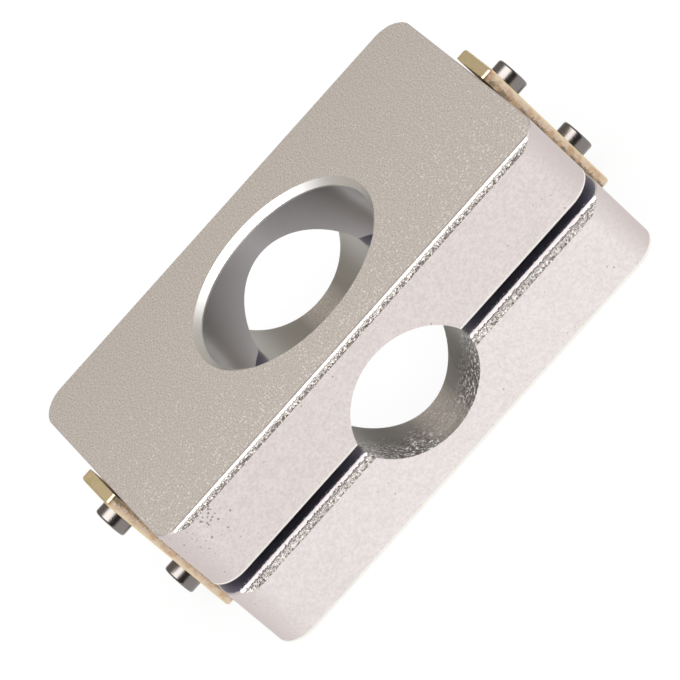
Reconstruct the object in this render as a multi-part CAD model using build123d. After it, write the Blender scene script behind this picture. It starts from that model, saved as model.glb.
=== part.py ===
"""Split mounting block: two machined aluminium halves held apart by an end strap on each side.

Millimetres, +Z up. The origin is the centre of the base, on the axis of the upright bore.
X runs along the block, Y from the front (-Y) to the back, and the cross bore lies along Y.
"""
from build123d import *
import os
from math import cos, radians, tan

# Block
block_length = 100.0
block_depth = 64.0
half_height = 16.5
split_gap = 3.0
corner_radius = 6.0          # upright corners
edge_break = 0.25            # deburred rims of both flat faces

# Upright bore, through both halves
post_radius = 20.4
post_chamfer = 1.15          # at 45 degrees, on the top and bottom rims

# Cross bore: each half has a groove shallower than its own radius, so that the halves can grip
groove_radius = 14.6
groove_depth = 10.4
groove_lip_radius = 0.5      # rounded edge between groove and split face

# Flat 45 degree bevels along the front edges, which run out in the rounded corners
upper_bevel = 1.1
lower_bevel = 1.6

# End straps, stamped from strip
strap_width = 12.3
strap_thickness = 2.4
strap_foot = 0.05            # clear of whatever the block stands on
strap_top = 35.7
strap_skew = {"left": 0.8, "right": 0.0}    # how much lower the top was sheared at the front
strap_front_radius = 0.7     # corners of the strap's outline
strap_back_radius = 1.5
strap_roll_radius = 0.65     # edge rolled over by the stamping die
strap_hole_radius = 2.25

# Low head socket screws, M4 x 12
thread_radius = 2.0
screw_length = 12.0
screw_tip_chamfer = 0.5
thread_clearance = 0.025     # between the plain shank and the plain hole that stand for the threads
head_radius = 3.4
head_height = 2.8
head_rim_radius = 0.5
socket_width = 2.5           # across the flats of the hexagon
socket_depth = 1.9
socket_lead_in = 0.25        # bevel round the socket's mouth
socket_turns = {"left_lower": 11.0, "left_upper": 38.0, "right_lower": 22.0, "right_upper": 51.0}  # degrees

# Thin washers between block and strap
washer_radius = 3.5
washer_hole_radius = 2.15
washer_thickness = 0.5

# Blind tapped holes in the end faces
tap_depth = 12.0
drill_point_angle = 118.0

# Derived places
upper_base = half_height + split_gap
block_height = upper_base + half_height
end_face = block_length / 2
front_face = -block_depth / 2
strap_inner_face = end_face + washer_thickness
strap_outer_face = strap_inner_face + strap_thickness
screw_heights = {"lower": half_height / 2, "upper": upper_base + half_height / 2}
ends = {"left": -1, "right": 1}
overrun = 1.0                # how far cutting shapes reach past the faces they cut


def half_blank():
    """One half before boring, from z = 0 up: a plate with rounded corners and deburred rims."""
    plate = extrude(RectangleRounded(block_length, block_depth, corner_radius), half_height)
    rims = plate.faces().filter_by(Axis.Z).edges()
    return chamfer(rims, edge_break)


def groove_cutter(opens_up):
    """A shallow groove along Y, with rounded lips, for a half whose split face is at z = 0."""
    centre_height = groove_radius - groove_depth
    arc = Pos(0, -centre_height) * Circle(groove_radius)
    outside = Pos(0, -groove_radius) * Rectangle(block_length + 2 * overrun, 2 * groove_radius)
    profile = make_face((arc + outside).wire())
    lips = profile.vertices().filter_by_position(Axis.Y, -0.01, 0.01).sort_by(lambda v: abs(v.X))[:2]
    profile = fillet(lips, groove_lip_radius)
    cutter = extrude(Plane.XZ * profile, block_depth / 2 + overrun, both=True)
    return mirror(cutter, Plane.XY) if opens_up else cutter


def bevel_cutter(size, top):
    """A wedge that planes the front edge at height top off at 45 degrees."""
    inner = (front_face + size + overrun, top + overrun)
    outer = (front_face - overrun, top - size - overrun)
    corner = (front_face - overrun, top + overrun)
    wedge = make_face(Polyline(inner, outer, corner, close=True))
    return extrude(Plane.YZ * wedge, end_face + overrun, both=True)


def post_bore_cutter():
    """The upright bore with its chamfered mouths, over the whole height of the block."""
    mouth_height = post_chamfer + overrun
    bore = Pos(0, 0, block_height / 2) * Cylinder(post_radius, block_height + 2 * overrun)
    mouth = Cone(post_radius, post_radius + mouth_height, mouth_height)
    top_mouth = Pos(0, 0, block_height + overrun - mouth_height / 2) * mouth
    return bore + top_mouth + mirror(top_mouth, Plane.XY.offset(block_height / 2))


def along_x(side, distance, height):
    """A place on an end strap's screw axis, with local +Z pointing out of the block."""
    return Plane(origin=(side * distance, 0, height), x_dir=(0, 1, 0), z_dir=(side, 0, 0))


def tapped_hole(side, height):
    """A blind hole from the end face inwards, with the cone that the drill leaves."""
    point_height = thread_radius / tan(radians(drill_point_angle / 2))
    straight = Pos(0, 0, (overrun - tap_depth) / 2) * Cylinder(thread_radius, tap_depth + overrun)
    point = Pos(0, 0, -tap_depth - point_height / 2) * Cone(0, thread_radius, point_height)
    return along_x(side, end_face, height) * (straight + point)


def block_half(base, height, bevel, groove_at_top):
    """One finished half, standing on the height base."""
    split_face = base + half_height if groove_at_top else base
    half = Pos(0, 0, base) * half_blank()
    half -= Pos(0, 0, split_face) * groove_cutter(groove_at_top)
    half -= bevel_cutter(bevel, base + half_height)
    half -= post_bore_cutter()
    for side in ends.values():
        half -= tapped_hole(side, height)
    return half


def end_strap(end):
    """A stamped strap on two screws, with its outer edge rolled over by the die."""
    side = ends[end]
    back = strap_width / 2
    sheared_top = strap_top - strap_skew[end]
    outline = make_face(Polyline(
        (-back, strap_foot), (back, strap_foot), (back, strap_top), (-back, sheared_top), close=True,
    ))
    outline = fillet(outline.vertices().group_by(Axis.X)[0], strap_front_radius)
    outline = fillet(outline.vertices().group_by(Axis.X)[-1], strap_back_radius)
    strap = extrude(Plane.YZ.offset(side * strap_inner_face) * outline, side * strap_thickness)
    outer_face = strap.faces().sort_by(lambda face: side * face.center().X)[-1]
    strap = fillet(outer_face.edges(), strap_roll_radius)
    for height in screw_heights.values():
        strap -= along_x(side, strap_inner_face, height) * Cylinder(strap_hole_radius, 3 * strap_thickness)
    return strap


def socket_cutter():
    """A hexagonal socket sunk from z = 0, with a bevelled mouth and the cone left by its pilot drill."""
    corner = socket_width / 2 / cos(radians(30))
    hexagon = extrude(RegularPolygon(corner, 6), socket_depth + overrun)
    mouth_radius = corner + socket_lead_in
    mouth = Cone(mouth_radius - 2 * socket_lead_in, mouth_radius + overrun, 2 * socket_lead_in + overrun)
    point_height = socket_width / 2 / tan(radians(drill_point_angle / 2))
    point = Cone(0, socket_width / 2, point_height)
    return (
        Pos(0, 0, -socket_depth) * hexagon
        + Pos(0, 0, overrun / 2 - socket_lead_in) * mouth
        + Pos(0, 0, -socket_depth - point_height / 2) * point
    )


def screw(side, height, socket_turn):
    """A low head socket screw, seated on the strap, with its thread as a plain shank."""
    shank_radius = thread_radius - thread_clearance
    neck = shank_radius - screw_tip_chamfer
    outline = Polyline(
        (0, -screw_length), (neck, -screw_length), (shank_radius, -screw_length + screw_tip_chamfer),
        (shank_radius, 0), (head_radius, 0), (head_radius, head_height), (0, head_height), close=True,
    )
    profile = make_face(outline)
    rim = profile.vertices().sort_by(lambda v: v.X + v.Y)[-1]
    profile = fillet(rim, head_rim_radius)
    body = revolve(Plane.XZ * profile, Axis.Z)
    body -= Pos(0, 0, head_height) * Rot(0, 0, socket_turn) * socket_cutter()
    return along_x(side, strap_outer_face, height) * body


def washer(side, height):
    """A thin washer that keeps the strap off the end face."""
    ring = extrude(Circle(washer_radius) - Circle(washer_hole_radius), washer_thickness)
    return along_x(side, end_face, height) * ring


def at_each_screw(make_piece):
    """One piece for every screw, from a function of the end's side, the height and the screw's name."""
    pieces = []
    for end, side in ends.items():
        for level, height in screw_heights.items():
            pieces.append(make_piece(side, height, f"{end}_{level}"))
    return Compound(children=pieces)


nodes = {
    "lower_half": block_half(0, screw_heights["lower"], lower_bevel, groove_at_top=True),
    "upper_half": block_half(upper_base, screw_heights["upper"], upper_bevel, groove_at_top=False),
    "left_strap": end_strap("left"),
    "right_strap": end_strap("right"),
    "strap_screws": at_each_screw(lambda side, height, name: screw(side, height, socket_turns[name])),
    "spacer_washers": at_each_screw(lambda side, height, name: washer(side, height)),
}

os.makedirs("parts", exist_ok=True)
for name, shape in nodes.items():
    export_step(shape, f"parts/{name}.step")
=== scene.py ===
import math
from types import SimpleNamespace
import bpy
import numpy as np
from mathutils import Matrix, Vector


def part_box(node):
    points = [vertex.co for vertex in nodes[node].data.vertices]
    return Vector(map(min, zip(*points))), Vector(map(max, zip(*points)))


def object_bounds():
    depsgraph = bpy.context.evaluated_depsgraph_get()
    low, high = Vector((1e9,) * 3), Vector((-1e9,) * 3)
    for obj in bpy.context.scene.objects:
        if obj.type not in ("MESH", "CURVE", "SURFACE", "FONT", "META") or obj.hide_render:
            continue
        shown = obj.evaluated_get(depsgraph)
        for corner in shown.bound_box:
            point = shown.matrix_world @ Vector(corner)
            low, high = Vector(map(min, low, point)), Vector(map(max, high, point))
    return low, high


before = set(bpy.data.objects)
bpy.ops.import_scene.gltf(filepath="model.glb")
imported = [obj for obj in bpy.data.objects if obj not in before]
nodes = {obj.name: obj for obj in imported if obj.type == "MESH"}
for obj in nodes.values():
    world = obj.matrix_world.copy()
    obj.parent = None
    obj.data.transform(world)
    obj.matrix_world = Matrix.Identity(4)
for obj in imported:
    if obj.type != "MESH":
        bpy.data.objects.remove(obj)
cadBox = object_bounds()
print("frame loaded:", sorted(nodes))


# An sRGB hex colour as linear RGBA.
def linearColour(code):
    parts = [int(code[i:i + 2], 16) / 255 for i in (1, 3, 5)]
    return [p / 12.92 if p <= 0.04045 else ((p + 0.055) / 1.055) ** 2.4 for p in parts] + [1.0]


# Adds one node with its settings, feeds its inputs with constants or links, and returns one of its outputs.
def addNode(tree, kind, inputs=None, out=0, **settings):
    made = tree.nodes.new("ShaderNode" + kind)
    for name, value in settings.items():
        setattr(made, name, value)
    for key, value in (inputs or {}).items():
        if isinstance(value, bpy.types.NodeSocket):
            tree.links.new(value, made.inputs[key])
        else:
            made.inputs[key].default_value = value
    return made.outputs[out]


colourMix = {"out": 2, "data_type": "RGBA"}    # a Mix node for colours: inputs 0 share, 6 under, 7 over


# Starts a metal: its material, tree, shader, and the object's own coordinates in millimetres and its normal.
def startMetal(name, roughness):
    material = bpy.data.materials.new(name)
    material.use_nodes = True
    tree = material.node_tree
    shader = tree.nodes["Principled BSDF"]
    shader.inputs["Metallic"].default_value = 1.0
    shader.inputs["Roughness"].default_value = roughness
    metres = addNode(tree, "TexCoord", out="Object")
    place = addNode(tree, "VectorMath", {0: metres, 1: (1000, 1000, 1000)}, operation="MULTIPLY")
    return material, tree, shader, place, metres.node.outputs["Normal"]


# ---- Aluminium halves
# Cast aluminium, sand-blasted: the faced top is a warm grey full of soft bright specks, coarser towards the
# front, and the skin round the sides is paler and pinkish with small dark pits. The bores are turned smoother,
# with a darker grey painted on as shade inside them, and the front bevels are half wiped clean and half torn.
# The blasting grain is 0.1 to 0.2 mm, too fine to show, so its specks are drawn about 0.3 mm across.
aluminium = {
    "top": "#F3EDE8", "topSpeck": "#FFFBF7", "topShade": "#CCC4BD", "topBesideBevel": "#BBB3AE",
    # the end skin tone is painted shade for faces turned towards the ends
    # the pale rim line is partly bare metal and partly a painted highlight of the lower edge
    "endSkinShade": "#D6CBC9", "skinPit": "#978D8D", "rimHighlight": "#FFFDF4",
    # the bore wall's darker grey is painted shade
    "bore": "#BEBBBB", "boreChamfer": "#F6F5F2",
    # the groove's inner tone is painted shade, darker than its rim
    "grooveInnerShade": "#B6B3AD", "grooveRim": "#E6E1DE", "groovePit": "#7C7672", "grooveSpeck": "#FFFFFF",
    "bevelLine": "#D9D2D0", "bevelGrain": "#ECE5DF", "bevelShade": "#756E69",
    # the gap faces' bluish grey is painted cool shade
    "splitFaceCoolShade": "#B4B1BE", "splitChip": "#F2F2FF",
    "speckMm": 0.62, "pitMm": 0.85, "bevelGrainMm": 0.5, "chipMm": 0.5,
    "pitCluster": (-42.0, -32.0, 34.0), "pitClusterReach": 10.0,
    "skinShade": 0.86,          # how dark the skin's mottling is
    "lineShare": 0.36,          # clean upper part of each bevel
    "roughness": 0.5, "boreRoughness": 0.36,
}

# What differs between the halves: skin, width of the bevel in mm, and how much paler its torn grain is.
halves = {
    "upper_half": {"skin": "#F3E9E6", "bevel": 1.1, "paler": -0.03},
    "lower_half": {"skin": "#FBF3F1", "bevel": 1.6, "paler": 0.07},
}

# Where the machined forms lie, in mm. Heights are measured from the middle of the gap.
formMm = {
    "middle": (cadBox[0][2] + cadBox[1][2]) / 2 * 1000,
    "boreRadius": 20.42, "mouthRadius": 21.65, "mouthHeight": 16.5,
    "grooveHalfWidth": 15.2, "grooveHalfHeight": 11.5,
    "gapHalfHeight": 1.85,
    "bevelDepth": 4.0,          # the bevels lie within this of the front
}


# Position and facing of a point on a half, three scales of mottling, and the bright specks: each cell of
# a Voronoi pattern holds a spot whose size is drawn at random, larger towards the front.
def readSurface(tree, place, normal, node):
    low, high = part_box(node)
    at = SimpleNamespace(place=place, normal=normal)
    at.bottom, at.top, at.front = low[2] * 1000, high[2] * 1000, low[1] * 1000
    at.x = addNode(tree, "SeparateXYZ", {0: place})
    at.y, at.z = at.x.node.outputs[1], at.x.node.outputs[2]
    at.nx = addNode(tree, "SeparateXYZ", {0: normal})
    at.ny, at.nz = at.nx.node.outputs[1], at.nx.node.outputs[2]
    steep = addNode(tree, "Math", {0: at.nz}, operation="ABSOLUTE")
    at.flat = addNode(tree, "MapRange", {0: steep, 1: 0.9, 2: 0.98})
    plan = addNode(tree, "CombineXYZ", {0: at.x, 1: at.y})
    at.radius = addNode(tree, "VectorMath", {0: plan}, out="Value", operation="LENGTH")
    above = addNode(tree, "Math", {0: at.z, 1: formMm["middle"]}, operation="SUBTRACT")
    at.offMiddle = addNode(tree, "Math", {0: above}, operation="ABSOLUTE")

    at.blotch = addNode(tree, "TexNoise", {"Vector": place, "Scale": 0.3, "Detail": 3.0, "Roughness": 0.6})
    at.mottle = addNode(tree, "TexNoise", {"Vector": place, "Scale": 1.7, "Detail": 3.0, "Roughness": 0.65})
    at.grain = addNode(tree, "TexNoise", {"Vector": place, "Scale": 3.0, "Detail": 2.0, "Roughness": 0.6})
    at.mottleShare = addNode(tree, "MapRange", {0: at.mottle, 1: 0.34, 2: 0.66})

    cells = addNode(tree, "TexVoronoi", {"Vector": place, "Scale": 1 / aluminium["speckMm"]})
    draw = addNode(tree, "SeparateColor", {0: cells.node.outputs["Color"]})
    coarser = addNode(tree, "MapRange", {0: at.y, 1: 25.0, 2: at.front, 3: -0.35, 4: 0.25})
    coarser = addNode(tree, "Math", {0: at.blotch, 1: 0.9, 2: coarser}, operation="MULTIPLY_ADD")
    size = addNode(tree, "Math", {0: draw, 1: coarser}, operation="ADD")
    size = addNode(tree, "MapRange", {0: size, 1: 0.4, 2: 1.6, 3: 0.0, 4: 0.56})
    inside = addNode(tree, "Math", {0: size, 1: cells}, operation="SUBTRACT")
    at.speck = addNode(tree, "MapRange", {0: inside, 1: 0.0, 2: 0.34}, interpolation_type="SMOOTHSTEP")
    return at


# Faced top: fine grey grain under the specks, and a darker strip beside the bevel.
def topFinish(tree, at, tone, bevel):
    share = addNode(tree, "MapRange", {0: at.grain, 1: 0.36, 2: 0.64})
    colour = addNode(tree, "Mix", {0: share, 6: tone["topShade"], 7: tone["top"]}, **colourMix)
    colour = addNode(tree, "Mix", {0: at.speck, 6: colour, 7: tone["topSpeck"]}, **colourMix)
    edge = at.front + bevel
    besideBevel = addNode(tree, "MapRange", {0: at.y, 1: edge + 0.8, 2: edge + 0.2, 4: 0.7})
    return addNode(tree, "Mix", {0: besideBevel, 6: colour, 7: tone["topBesideBevel"]}, **colourMix)


# Skin: pale, painted darker at the ends and round the corners as shade for the dimmer floor they mirror, with
# dark pits in patches and a crowd of them near one corner.
def skinFinish(tree, at, tone, skin):
    pale = linearColour(skin)
    shade = [value * aluminium["skinShade"] for value in pale[:3]] + [1.0]
    colour = addNode(tree, "Mix", {0: at.mottleShare, 6: shade, 7: pale}, **colourMix)
    # painted shade: skin turned towards the ends takes the darker end tone
    endShadeShare = addNode(tree, "Math", {0: at.nx}, operation="ABSOLUTE")
    colour = addNode(tree, "Mix", {0: endShadeShare, 6: colour, 7: tone["endSkinShade"]}, **colourMix)

    cells = addNode(tree, "TexVoronoi", {"Vector": at.place, "Scale": 1 / aluminium["pitMm"]})
    draw = addNode(tree, "SeparateColor", {0: cells.node.outputs["Color"]})
    away = addNode(tree, "VectorMath", {0: at.place, 1: aluminium["pitCluster"]}, out="Value",
                   operation="DISTANCE")
    crowd = addNode(tree, "MapRange", {0: away, 1: 2.0, 2: aluminium["pitClusterReach"], 3: 1.1, 4: 0.0})
    patchy = addNode(tree, "MapRange", {0: at.blotch, 1: 0.4, 2: 0.7, 3: -0.12, 4: 0.3})
    crowd = addNode(tree, "Math", {0: crowd, 1: patchy}, operation="MAXIMUM")
    size = addNode(tree, "Math", {0: draw, 1: crowd}, operation="ADD")
    size = addNode(tree, "MapRange", {0: size, 1: 0.7, 2: 1.4, 3: 0.12, 4: 0.5})
    inside = addNode(tree, "Math", {0: size, 1: cells}, operation="SUBTRACT")
    pit = addNode(tree, "MapRange", {0: inside, 1: 0.12, 2: 0.3, 4: 0.85}, interpolation_type="SMOOTHSTEP")
    return addNode(tree, "Mix", {0: pit, 6: colour, 7: tone["skinPit"]}, **colourMix)


# Lower rim: a thin pale line where the skin is broken at the deburred edge, carried up onto the skin above it
# as a painted highlight of the edge.
def rimFinish(tree, at, tone, colour):
    ragged = addNode(tree, "Math", {0: at.grain, 1: -0.25, 2: at.z}, operation="MULTIPLY_ADD")
    # painted highlight: the pale line reaches above the edge break onto the skin
    low = addNode(tree, "MapRange", {0: ragged, 1: at.bottom + 0.55, 2: at.bottom + 0.4})
    low = addNode(tree, "Math", {0: low, 1: at.flat}, operation="SUBTRACT", use_clamp=True)
    return addNode(tree, "Mix", {0: low, 6: colour, 7: tone["rimHighlight"]}, **colourMix)


# Clamp groove: painted darker and even deeper inside, as shade in the recess, and pitted and flecked with torn
# metal towards its paler front rim.
def grooveFinish(tree, at, tone, colour):
    width, height = formMm["grooveHalfWidth"], formMm["grooveHalfHeight"]
    aside = addNode(tree, "Math", {0: at.x}, operation="ABSOLUTE")
    beside = addNode(tree, "MapRange", {0: aside, 1: width + 0.1, 2: width - 0.1})
    frontways = addNode(tree, "Math", {0: at.ny}, operation="ABSOLUTE")
    sideways = addNode(tree, "MapRange", {0: frontways, 1: 0.85, 2: 0.6})
    within = addNode(tree, "MapRange", {0: at.offMiddle, 1: height + 0.5, 2: height - 0.5})
    groove = addNode(tree, "Math", {0: beside, 1: sideways}, operation="MULTIPLY")
    groove = addNode(tree, "Math", {0: groove, 1: within}, operation="MULTIPLY")

    depth = addNode(tree, "Math", {0: at.y, 1: at.front}, operation="SUBTRACT")
    depth = addNode(tree, "Math", {0: at.blotch, 1: 9.0, 2: depth}, operation="MULTIPLY_ADD")
    nearRim = addNode(tree, "MapRange", {0: depth, 1: 14.0, 2: 8.0})
    rim = addNode(tree, "Mix", {0: at.mottleShare, 6: tone["groovePit"], 7: tone["grooveRim"]}, **colourMix)
    fleck = addNode(tree, "MapRange", {0: at.mottle, 1: 0.56, 2: 0.63})
    rim = addNode(tree, "Mix", {0: fleck, 6: rim, 7: tone["grooveSpeck"]}, **colourMix)
    # painted shade: the wall turns from the rim's tone to the darker inner one with depth
    wall = addNode(tree, "Mix", {0: nearRim, 6: tone["grooveInnerShade"], 7: rim}, **colourMix)

    flecked = addNode(tree, "Math", {0: groove, 1: nearRim}, operation="MULTIPLY")
    flecked = addNode(tree, "Math", {0: flecked, 1: fleck}, operation="MULTIPLY")
    return addNode(tree, "Mix", {0: groove, 6: colour, 7: wall}, **colourMix), flecked


# Upright bore: a smooth wall between bright chamfers, painted a darker grey as shade inside the bore.
def boreFinish(tree, at, tone, colour):
    wall = addNode(tree, "MapRange", {0: at.radius, 1: formMm["boreRadius"] + 0.02, 2: formMm["boreRadius"]})
    start, reach = formMm["mouthHeight"], formMm["mouthRadius"]
    outer = addNode(tree, "MapRange", {0: at.offMiddle, 1: start - 0.1, 2: start + 0.1})
    inner = addNode(tree, "MapRange", {0: at.radius, 1: reach + 0.1, 2: reach})
    mouth = addNode(tree, "Math", {0: outer, 1: inner}, operation="MULTIPLY")
    mouth = addNode(tree, "Math", {0: mouth, 1: at.flat}, operation="SUBTRACT", use_clamp=True)
    # painted shade: the bore wall takes a darker grey than the skin
    colour = addNode(tree, "Mix", {0: wall, 6: colour, 7: tone["bore"]}, **colourMix)
    colour = addNode(tree, "Mix", {0: mouth, 6: colour, 7: tone["boreChamfer"]}, **colourMix)
    return colour, addNode(tree, "Math", {0: wall, 1: mouth}, operation="MAXIMUM")


# Faces on each side of the gap: grey with a painted bluish cast, the cool colour of the shade in the gap, and
# pale chips along the front.
def splitFinish(tree, at, tone, colour):
    chip = addNode(tree, "TexNoise", {"Vector": at.place, "Scale": 1 / aluminium["chipMm"], "Detail": 2.0})
    lift = addNode(tree, "MapRange", {0: at.y, 1: at.front + 3.0, 2: at.front + 1.5, 3: -0.25, 4: 0.08})
    chip = addNode(tree, "Math", {0: chip, 1: lift}, operation="ADD")
    chipped = addNode(tree, "MapRange", {0: chip, 1: 0.5, 2: 0.62})
    # painted shade: the faces in the gap take a bluish grey
    coolSplitFace = addNode(tree, "Mix", {0: chipped, 6: tone["splitFaceCoolShade"], 7: tone["splitChip"]}, **colourMix)
    reach = formMm["gapHalfHeight"]
    split = addNode(tree, "MapRange", {0: at.offMiddle, 1: reach + 0.05, 2: reach - 0.05})
    split = addNode(tree, "Math", {0: split, 1: at.flat}, operation="MULTIPLY")
    chipped = addNode(tree, "Math", {0: split, 1: chipped}, operation="MULTIPLY")
    return addNode(tree, "Mix", {0: split, 6: colour, 7: coolSplitFace}, **colourMix), chipped


# Front bevel: a clean bright strip along its upper edge, and below it torn grain that darkens downwards.
def bevelFinish(tree, at, tone, colour, half):
    slant = addNode(tree, "VectorMath", {0: at.normal, 1: (0, -math.sqrt(0.5), math.sqrt(0.5))}, out="Value",
                    operation="DOT_PRODUCT")
    slant = addNode(tree, "MapRange", {0: slant, 1: 0.8, 2: 0.9})
    forward = addNode(tree, "Math", {0: at.y, 1: at.front + formMm["bevelDepth"]}, operation="LESS_THAN")
    bevel = addNode(tree, "Math", {0: slant, 1: forward}, operation="MULTIPLY")

    tear = addNode(tree, "TexNoise", {"Vector": at.place, "Scale": 1 / aluminium["bevelGrainMm"],
                                      "Detail": 2.0, "Roughness": 0.6})
    down = addNode(tree, "MapRange", {0: at.z, 1: at.top, 2: at.top - half["bevel"]}, clamp=False)
    ragged = addNode(tree, "Math", {0: tear, 1: 0.5, 2: down}, operation="MULTIPLY_ADD")
    line = aluminium["lineShare"]
    torn = addNode(tree, "MapRange", {0: ragged, 1: line + 0.18, 2: line + 0.36})
    bright = addNode(tree, "Math", {0: down, 1: -0.3, 2: tear}, operation="MULTIPLY_ADD")
    bright = addNode(tree, "MapRange", {0: bright, 1: 0.16 - half["paler"], 2: 0.44 - half["paler"]})
    grains = addNode(tree, "Mix", {0: bright, 6: tone["bevelShade"], 7: tone["bevelGrain"]}, **colourMix)
    grains = addNode(tree, "Mix", {0: torn, 6: tone["bevelLine"], 7: grains}, **colourMix)

    height = addNode(tree, "Math", {0: bevel, 1: torn}, operation="MULTIPLY")
    height = addNode(tree, "Math", {0: height, 1: tear}, operation="MULTIPLY")
    return addNode(tree, "Mix", {0: bevel, 6: colour, 7: grains}, **colourMix), height


def makeAluminium(node):
    half = halves[node]
    name = "sand-blasted cast aluminium, " + node
    material, tree, shader, place, normal = startMetal(name, aluminium["roughness"])
    tone = {key: linearColour(value) for key, value in aluminium.items() if isinstance(value, str)}
    at = readSurface(tree, place, normal, node)
    skin = skinFinish(tree, at, tone, half["skin"])
    top = topFinish(tree, at, tone, half["bevel"])
    colour = addNode(tree, "Mix", {0: at.flat, 6: skin, 7: top}, **colourMix)
    colour = rimFinish(tree, at, tone, colour)
    colour, flecked = grooveFinish(tree, at, tone, colour)
    colour, turned = boreFinish(tree, at, tone, colour)
    colour, chipped = splitFinish(tree, at, tone, colour)
    colour, tornHeight = bevelFinish(tree, at, tone, colour, half)
    tree.links.new(colour, shader.inputs["Base Color"])

    # turned walls shine more, and torn flecks and chips are dull
    rough = addNode(tree, "Mix", {0: turned, 2: aluminium["roughness"], 3: aluminium["boreRoughness"]})
    tree.links.new(rough, shader.inputs["Roughness"])
    burr = addNode(tree, "Math", {0: chipped, 1: flecked}, operation="MAXIMUM")
    dull = addNode(tree, "MapRange", {0: burr, 3: 1.0, 4: 0.25})
    tree.links.new(dull, shader.inputs["Metallic"])

    # relief: fine blasting everywhere, and torn metal on the bevel
    height = addNode(tree, "Math", {0: at.grain, 1: 0.05, 2: tornHeight}, operation="MULTIPLY_ADD")
    bump = addNode(tree, "Bump", {"Height": height, "Strength": 1.0, "Distance": 0.0005})
    tree.links.new(bump, shader.inputs["Normal"])
    return material


# ---- Steel parts
# Screws of bright turned steel, which mirrors the studio, over washers blackened by their oxide.
steel = {"screw": "#86807D", "screwRoughness": 0.26, "washer": "#2E2A28", "washerRoughness": 0.3}

# Yellow-passivated steel sheared from strip: olive and peach sheen on its faces, and along its long edges
# a smooth sheared zone outside and a brown torn one, with pits, on the side towards the block.
strap = {
    "olive": "#DDD09E", "straw": "#E8D6AE", "peach": "#EBCFB0",
    "sheared": "#E6D0B9", "torn": "#8F806A", "stain": "#CFB08E", "pit": "#4A3F35",
    "tornShare": 0.42, "pitMm": 0.9, "roughness": 0.42,
}


# How much of each strap's torn zone is pitted.
strapPits = {"left_strap": 0.1, "right_strap": 0.45}


def makeStrap(node):
    low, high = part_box(node)
    inner = min(abs(low[0]), abs(high[0])) * 1000
    thickness = (high[0] - low[0]) * 1000
    name = "yellow-passivated strip steel, " + node
    material, tree, shader, place, normal = startMetal(name, strap["roughness"])
    tone = {key: linearColour(value) for key, value in strap.items() if isinstance(value, str)}
    sheen = addNode(tree, "TexNoise", {"Vector": place, "Scale": 0.5, "Detail": 3.0, "Roughness": 0.6})
    grain = addNode(tree, "TexNoise", {"Vector": place, "Scale": 1.8, "Detail": 3.0, "Roughness": 0.7})

    # faces: the passivation's colours in soft clouds
    straw = addNode(tree, "MapRange", {0: sheen, 1: 0.35, 2: 0.5})
    colour = addNode(tree, "Mix", {0: straw, 6: tone["olive"], 7: tone["straw"]}, **colourMix)
    peach = addNode(tree, "MapRange", {0: sheen, 1: 0.52, 2: 0.68})
    colour = addNode(tree, "Mix", {0: peach, 6: colour, 7: tone["peach"]}, **colourMix)

    # long edges: torn inner zone with a ragged border, stained like the sheared one outside it
    across = addNode(tree, "Math", {0: addNode(tree, "SeparateXYZ", {0: place})}, operation="ABSOLUTE")
    depth = addNode(tree, "Math", {0: across, 1: inner}, operation="SUBTRACT")
    depth = addNode(tree, "Math", {0: grain, 1: -2.2, 2: depth}, operation="MULTIPLY_ADD")
    border = thickness * strap["tornShare"] - 1.1
    torn = addNode(tree, "MapRange", {0: depth, 1: border + 0.25, 2: border - 0.25})
    stained = addNode(tree, "MapRange", {0: sheen, 1: 0.45, 2: 0.65})
    sheared = addNode(tree, "Mix", {0: stained, 6: tone["sheared"], 7: tone["stain"]}, **colourMix)
    rough = addNode(tree, "Mix", {0: stained, 6: tone["torn"], 7: tone["stain"]}, **colourMix)
    edge = addNode(tree, "Mix", {0: torn, 6: sheared, 7: rough}, **colourMix)

    # pits: a share of the cells of a Voronoi pattern hold a dark spot in the torn zone
    cells = addNode(tree, "TexVoronoi", {"Vector": place, "Scale": 1 / strap["pitMm"]})
    draw = addNode(tree, "SeparateColor", {0: cells.node.outputs["Color"]})
    size = addNode(tree, "MapRange", {0: draw, 1: 1.0 - strapPits[node], 2: 1.0, 3: 0.0, 4: 0.35})
    inside = addNode(tree, "Math", {0: size, 1: cells}, operation="SUBTRACT")
    pit = addNode(tree, "MapRange", {0: inside, 1: 0.0, 2: 0.1})
    pit = addNode(tree, "Math", {0: pit, 1: torn}, operation="MULTIPLY")
    edge = addNode(tree, "Mix", {0: pit, 6: edge, 7: tone["pit"]}, **colourMix)

    frontways = addNode(tree, "SeparateXYZ", {0: normal}, out=1)
    frontways = addNode(tree, "Math", {0: frontways}, operation="ABSOLUTE")
    onEdge = addNode(tree, "MapRange", {0: frontways, 1: 0.75, 2: 0.9})
    colour = addNode(tree, "Mix", {0: onEdge, 6: colour, 7: edge}, **colourMix)
    tree.links.new(colour, shader.inputs["Base Color"])
    bump = addNode(tree, "Bump", {"Height": grain, "Strength": 0.35, "Distance": 0.0002})
    tree.links.new(bump, shader.inputs["Normal"])
    return material


def plainMetal(name, colour, roughness):
    material, tree, shader = startMetal(name, roughness)[:3]
    shader.inputs["Base Color"].default_value = linearColour(colour)
    return material


# ---- Studio
studio = {
    "floorColour": "#F4F4F4",
    "floorGlow": 0.9,           # share of the floor's white that does not depend on the lamps
    "fill": 0.55,               # world light on matt surfaces
    "softbox": {"place": (0.0, -0.18, 0.62), "size": (0.8, 0.58), "power": 5.2},
    "tableReach": 6.0, "tableDrop": 0.0001,
    "surroundRadius": 1.6,
    "surroundFront": "#302C2A", "surroundBack": "#A8A29A",
    "surroundTop": (46.0, 30.0, 77.0),   # its upper edge in degrees above the table: front, sides, back
}


def stageMaterial(name):
    material = bpy.data.materials.new(name)
    material.use_nodes = True
    return material, material.node_tree, material.node_tree.nodes["Material Output"].inputs["Surface"]


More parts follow.
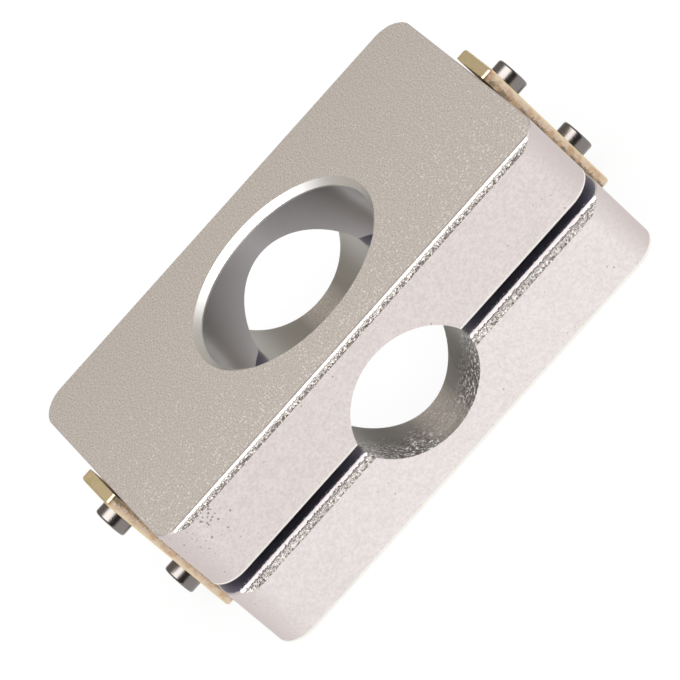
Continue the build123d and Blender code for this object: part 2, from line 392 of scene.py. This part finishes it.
# 1 for what the camera, a mirror or a glass sees, 0 for light on matt surfaces.
def seenDirectly(tree):
    camera = addNode(tree, "LightPath", out="Is Camera Ray")
    rays = camera.node.outputs
    seen = addNode(tree, "Math", {0: camera, 1: rays["Is Glossy Ray"]}, operation="MAXIMUM")
    return addNode(tree, "Math", {0: seen, 1: rays["Is Transmission Ray"]}, operation="MAXIMUM")


def meshObject(name, points, faces):
    mesh = bpy.data.meshes.new(name)
    mesh.from_pydata([tuple(p) for p in points], [], faces)
    made = bpy.data.objects.new(name, mesh)
    bpy.context.scene.collection.objects.link(made)
    return made


# White table: glows for direct sight, and takes a soft shadow through the matt share.
def makeTable():
    reach, drop = studio["tableReach"], studio["tableDrop"]
    corners = [(x * reach, y * reach, -drop) for x, y in ((-1, -1), (1, -1), (1, 1), (-1, 1))]
    table = meshObject("table", corners, [(0, 1, 2, 3)])
    paper, tree, surface = stageMaterial("white paper")
    matt = tree.nodes["Principled BSDF"]
    matt.inputs["Base Color"].default_value = linearColour(studio["floorColour"])
    matt.inputs["Roughness"].default_value = 0.9
    share = addNode(tree, "Math", {0: seenDirectly(tree), 1: studio["floorGlow"]}, operation="MULTIPLY")
    glow = addNode(tree, "Emission", {"Color": (1, 1, 1, 1), "Strength": 1.0})
    tree.links.new(addNode(tree, "MixShader", {0: share, 1: matt.outputs[0], 2: glow}), surface)
    table.data.materials.append(paper)


# Dark cloth round the table, a zone of a sphere: azimuth a runs once round from the right, and each height is a
# share of the upper edge. The edge's angle is a mean, plus a part that goes with the sine of a and lifts the
# back over the front, plus a part that goes with the cosine of twice a and sets the sides.
def makeSurround():
    around, heights = 96, 12
    front, side, back = np.radians(studio["surroundTop"])
    a, share = np.meshgrid(np.linspace(0, 2 * np.pi, around, endpoint=False), np.linspace(0, 1, heights))
    ends = (front + back) / 2
    edge = (ends + side) / 2 + (back - front) / 2 * np.sin(a) + (side - ends) / 2 * np.cos(2 * a)
    rise = share * edge
    radius = studio["surroundRadius"]
    points = radius * np.stack([np.cos(rise) * np.cos(a), np.cos(rise) * np.sin(a), np.sin(rise)], -1)
    i, j = np.meshgrid(np.arange(around), np.arange(heights - 1))
    i, j = i.ravel(), j.ravel()
    k = (i + 1) % around
    faces = np.stack([j * around + i, (j + 1) * around + i, (j + 1) * around + k, j * around + k], -1)
    surround = meshObject("surround", points.reshape(-1, 3), faces.tolist())
    surround.visible_camera = surround.visible_diffuse = surround.visible_shadow = False
    cloth, tree, surface = stageMaterial("dark cloth")
    y = addNode(tree, "SeparateXYZ", {0: addNode(tree, "TexCoord", out="Object")}, out=1)
    share = addNode(tree, "MapRange", {0: y, 1: -0.6, 2: 0.6})
    front, back = linearColour(studio["surroundFront"]), linearColour(studio["surroundBack"])
    tone = addNode(tree, "Mix", {0: share, 6: front, 7: back}, **colourMix)
    tree.links.new(addNode(tree, "Emission", {"Color": tone, "Strength": 1.0}), surface)
    surround.data.materials.append(cloth)


def makeLight():
    world = bpy.data.worlds.new("studio")
    world.use_nodes = True
    tree = world.node_tree
    background = tree.nodes["Background"]
    background.inputs["Color"].default_value = (1, 1, 1, 1)
    strength = addNode(tree, "MapRange", {0: seenDirectly(tree), 3: studio["fill"], 4: 1.0})
    tree.links.new(strength, background.inputs["Strength"])
    bpy.context.scene.world = world

    box = studio["softbox"]
    lamp = bpy.data.lights.new("softbox", "AREA")
    lamp.shape, lamp.energy = "RECTANGLE", box["power"]
    lamp.size, lamp.size_y = box["size"]
    softbox = bpy.data.objects.new("softbox", lamp)
    place = Vector(box["place"])
    softbox.matrix_world = Matrix.Translation(place) @ place.to_track_quat("Z", "Y").to_matrix().to_4x4()
    bpy.context.scene.collection.objects.link(softbox)


# ---- Camera: it looks at the bevelled front from above with a long lens, rolled about its own axis
view = {
    "elevation": 32.46, "turn": 0.73, "roll": -48.56,
    "distance": 1.0155, "lensMm": 291.5, "aim": (-0.00233, 0.0, 0.01704),
}


def makeCamera():
    up, turn, roll = (math.radians(view[key]) for key in ("elevation", "turn", "roll"))
    ahead = Vector((-math.sin(turn) * math.cos(up), math.cos(turn) * math.cos(up), -math.sin(up)))
    right = Vector((math.cos(turn), math.sin(turn), 0.0))
    above = right.cross(ahead)
    across = right * math.cos(roll) + above * math.sin(roll)
    upright = above * math.cos(roll) - right * math.sin(roll)
    lens = bpy.data.cameras.new("studioCamera")
    lens.lens, lens.sensor_width = view["lensMm"], 36.0
    lens.clip_start, lens.clip_end = 0.01, 20.0
    camera = bpy.data.objects.new("studioCamera", lens)
    axes = Matrix((across, upright, -ahead)).transposed()
    camera.matrix_world = Matrix.Translation(Vector(view["aim"]) - ahead * view["distance"]) @ axes.to_4x4()
    bpy.context.scene.collection.objects.link(camera)
    bpy.context.scene.camera = camera


finishes = {node: makeAluminium(node) for node in halves}
finishes.update({node: makeStrap(node) for node in strapPits})
finishes["strap_screws"] = plainMetal("turned steel", steel["screw"], steel["screwRoughness"])
finishes["spacer_washers"] = plainMetal("black oxide steel", steel["washer"], steel["washerRoughness"])
for nodeName, finish in finishes.items():
    nodes[nodeName].material_slots[0].material = finish
print("metals:", len(finishes))

makeTable()
makeSurround()
makeLight()
makeCamera()
bpy.context.scene.view_settings.view_transform = "Standard"
print("studio ready")
